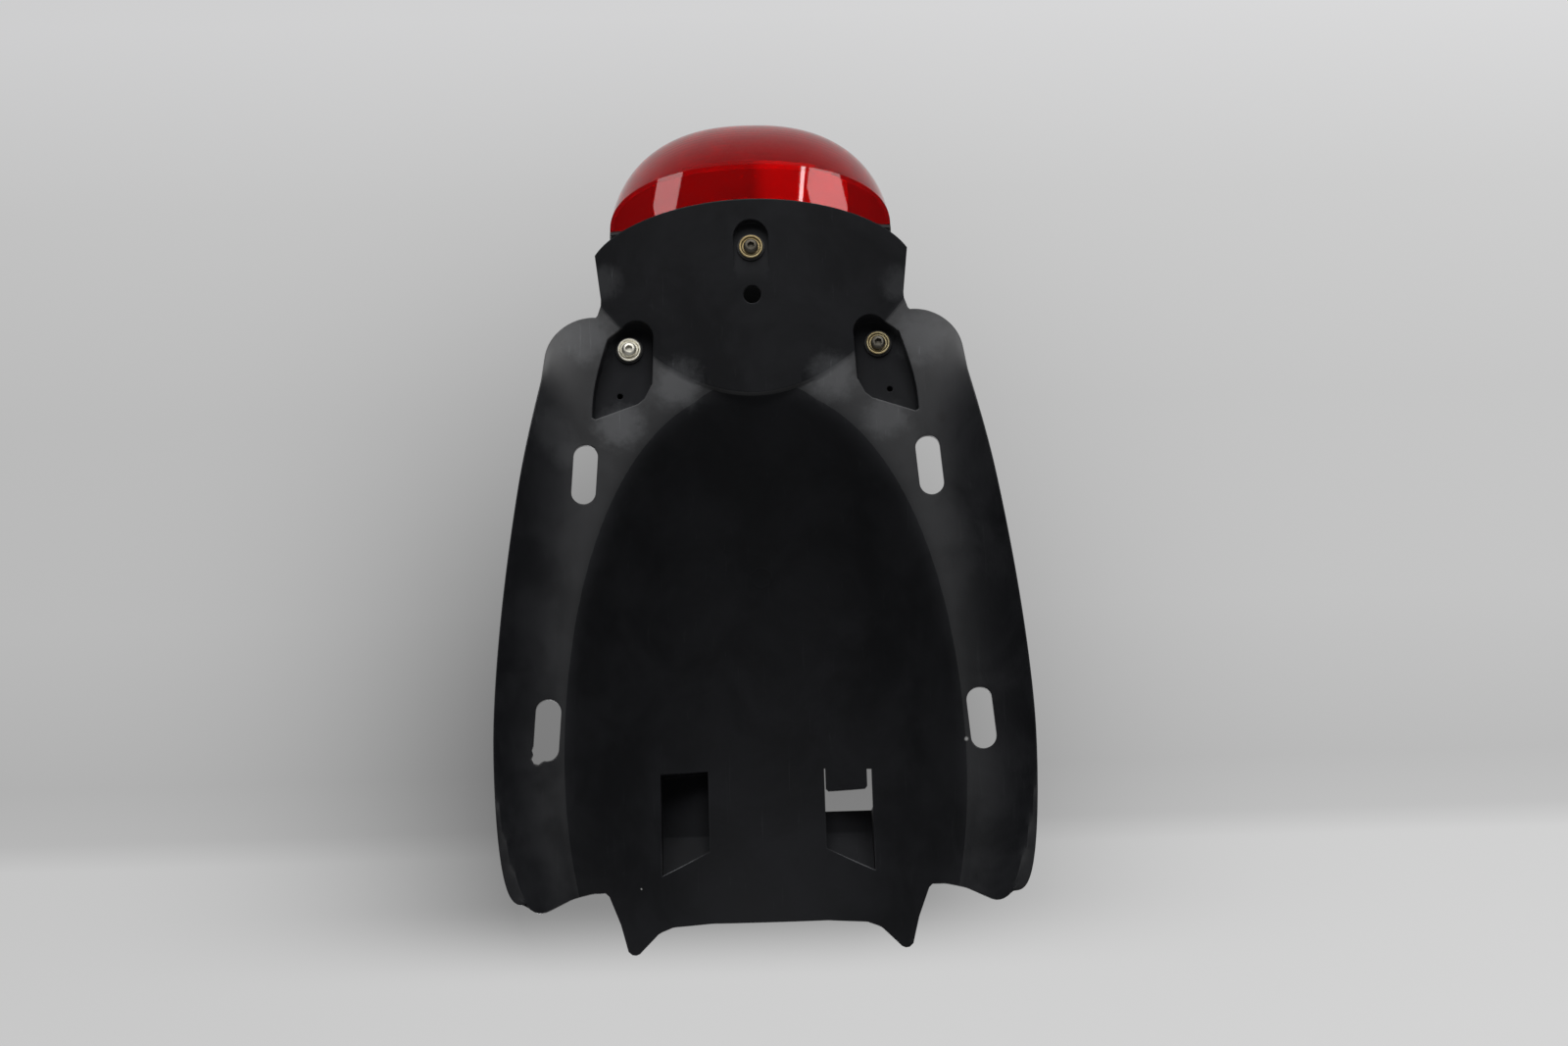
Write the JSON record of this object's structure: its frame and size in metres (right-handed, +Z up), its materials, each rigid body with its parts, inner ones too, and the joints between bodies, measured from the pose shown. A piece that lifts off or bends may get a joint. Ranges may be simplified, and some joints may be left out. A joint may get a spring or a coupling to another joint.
{
  "type": "motorcycle rear fender",
  "caption": "Black moulded rear fender for a motorcycle, with an arch over the wheel, slotted side flanges, strap hoods and a red tail lamp on its rear lip.",
  "frame": {"origin": "centre of the bounding box at its bottom, on the surface that the side flanges and the rear lip rest on", "axes": "+X to the right, +Y forwards to the points at the front of the arch, +Z up to the arch's crown; the lamp is at -Y"},
  "size_m": [0.306, 0.5078, 0.115],
  "materials": {
    "fender_plastic": "moulded black polypropylene, fine satin grain",
    "housing_plastic": "moulded black",
    "red_lens": "clear red, polished",
    "mirror_coat": "vacuum metallised",
    "bulb_glass": "clear",
    "brass": "plain",
    "zinc_steel": "zinc plated",
    "yellow_zinc": "yellow zinc plated",
    "black_rubber": "dull"
  },
  "bodies": {
    "root": {"fender": "fender_plastic", "lamp_housing": "housing_plastic", "lamp_reflector": "mirror_coat", "lens_seal": "black_rubber", "lamp_lens": "red_lens", "lens_screw": "zinc_steel", "cable_gland": "black_rubber", "left_bulb_glass": "bulb_glass", "right_bulb_glass": "bulb_glass", "left_bulb_cap": "brass", "right_bulb_cap": "brass", "left_bulb_filament": "zinc_steel", "right_bulb_filament": "zinc_steel", "left_bulb_socket": "housing_plastic", "right_bulb_socket": "housing_plastic", "left_socket_contact": "brass", "right_socket_contact": "brass", "rear_grommet": "black_rubber", "left_grommet": "black_rubber", "right_grommet": "black_rubber", "rear_collar": "yellow_zinc", "left_collar": "yellow_zinc", "right_collar": "yellow_zinc", "rear_lamp_screw": "zinc_steel", "left_lamp_screw": "zinc_steel", "right_lamp_screw": "zinc_steel", "rear_foot_insert": "brass", "left_foot_insert": "brass", "right_foot_insert": "brass"}
  },
  "joints": []
}
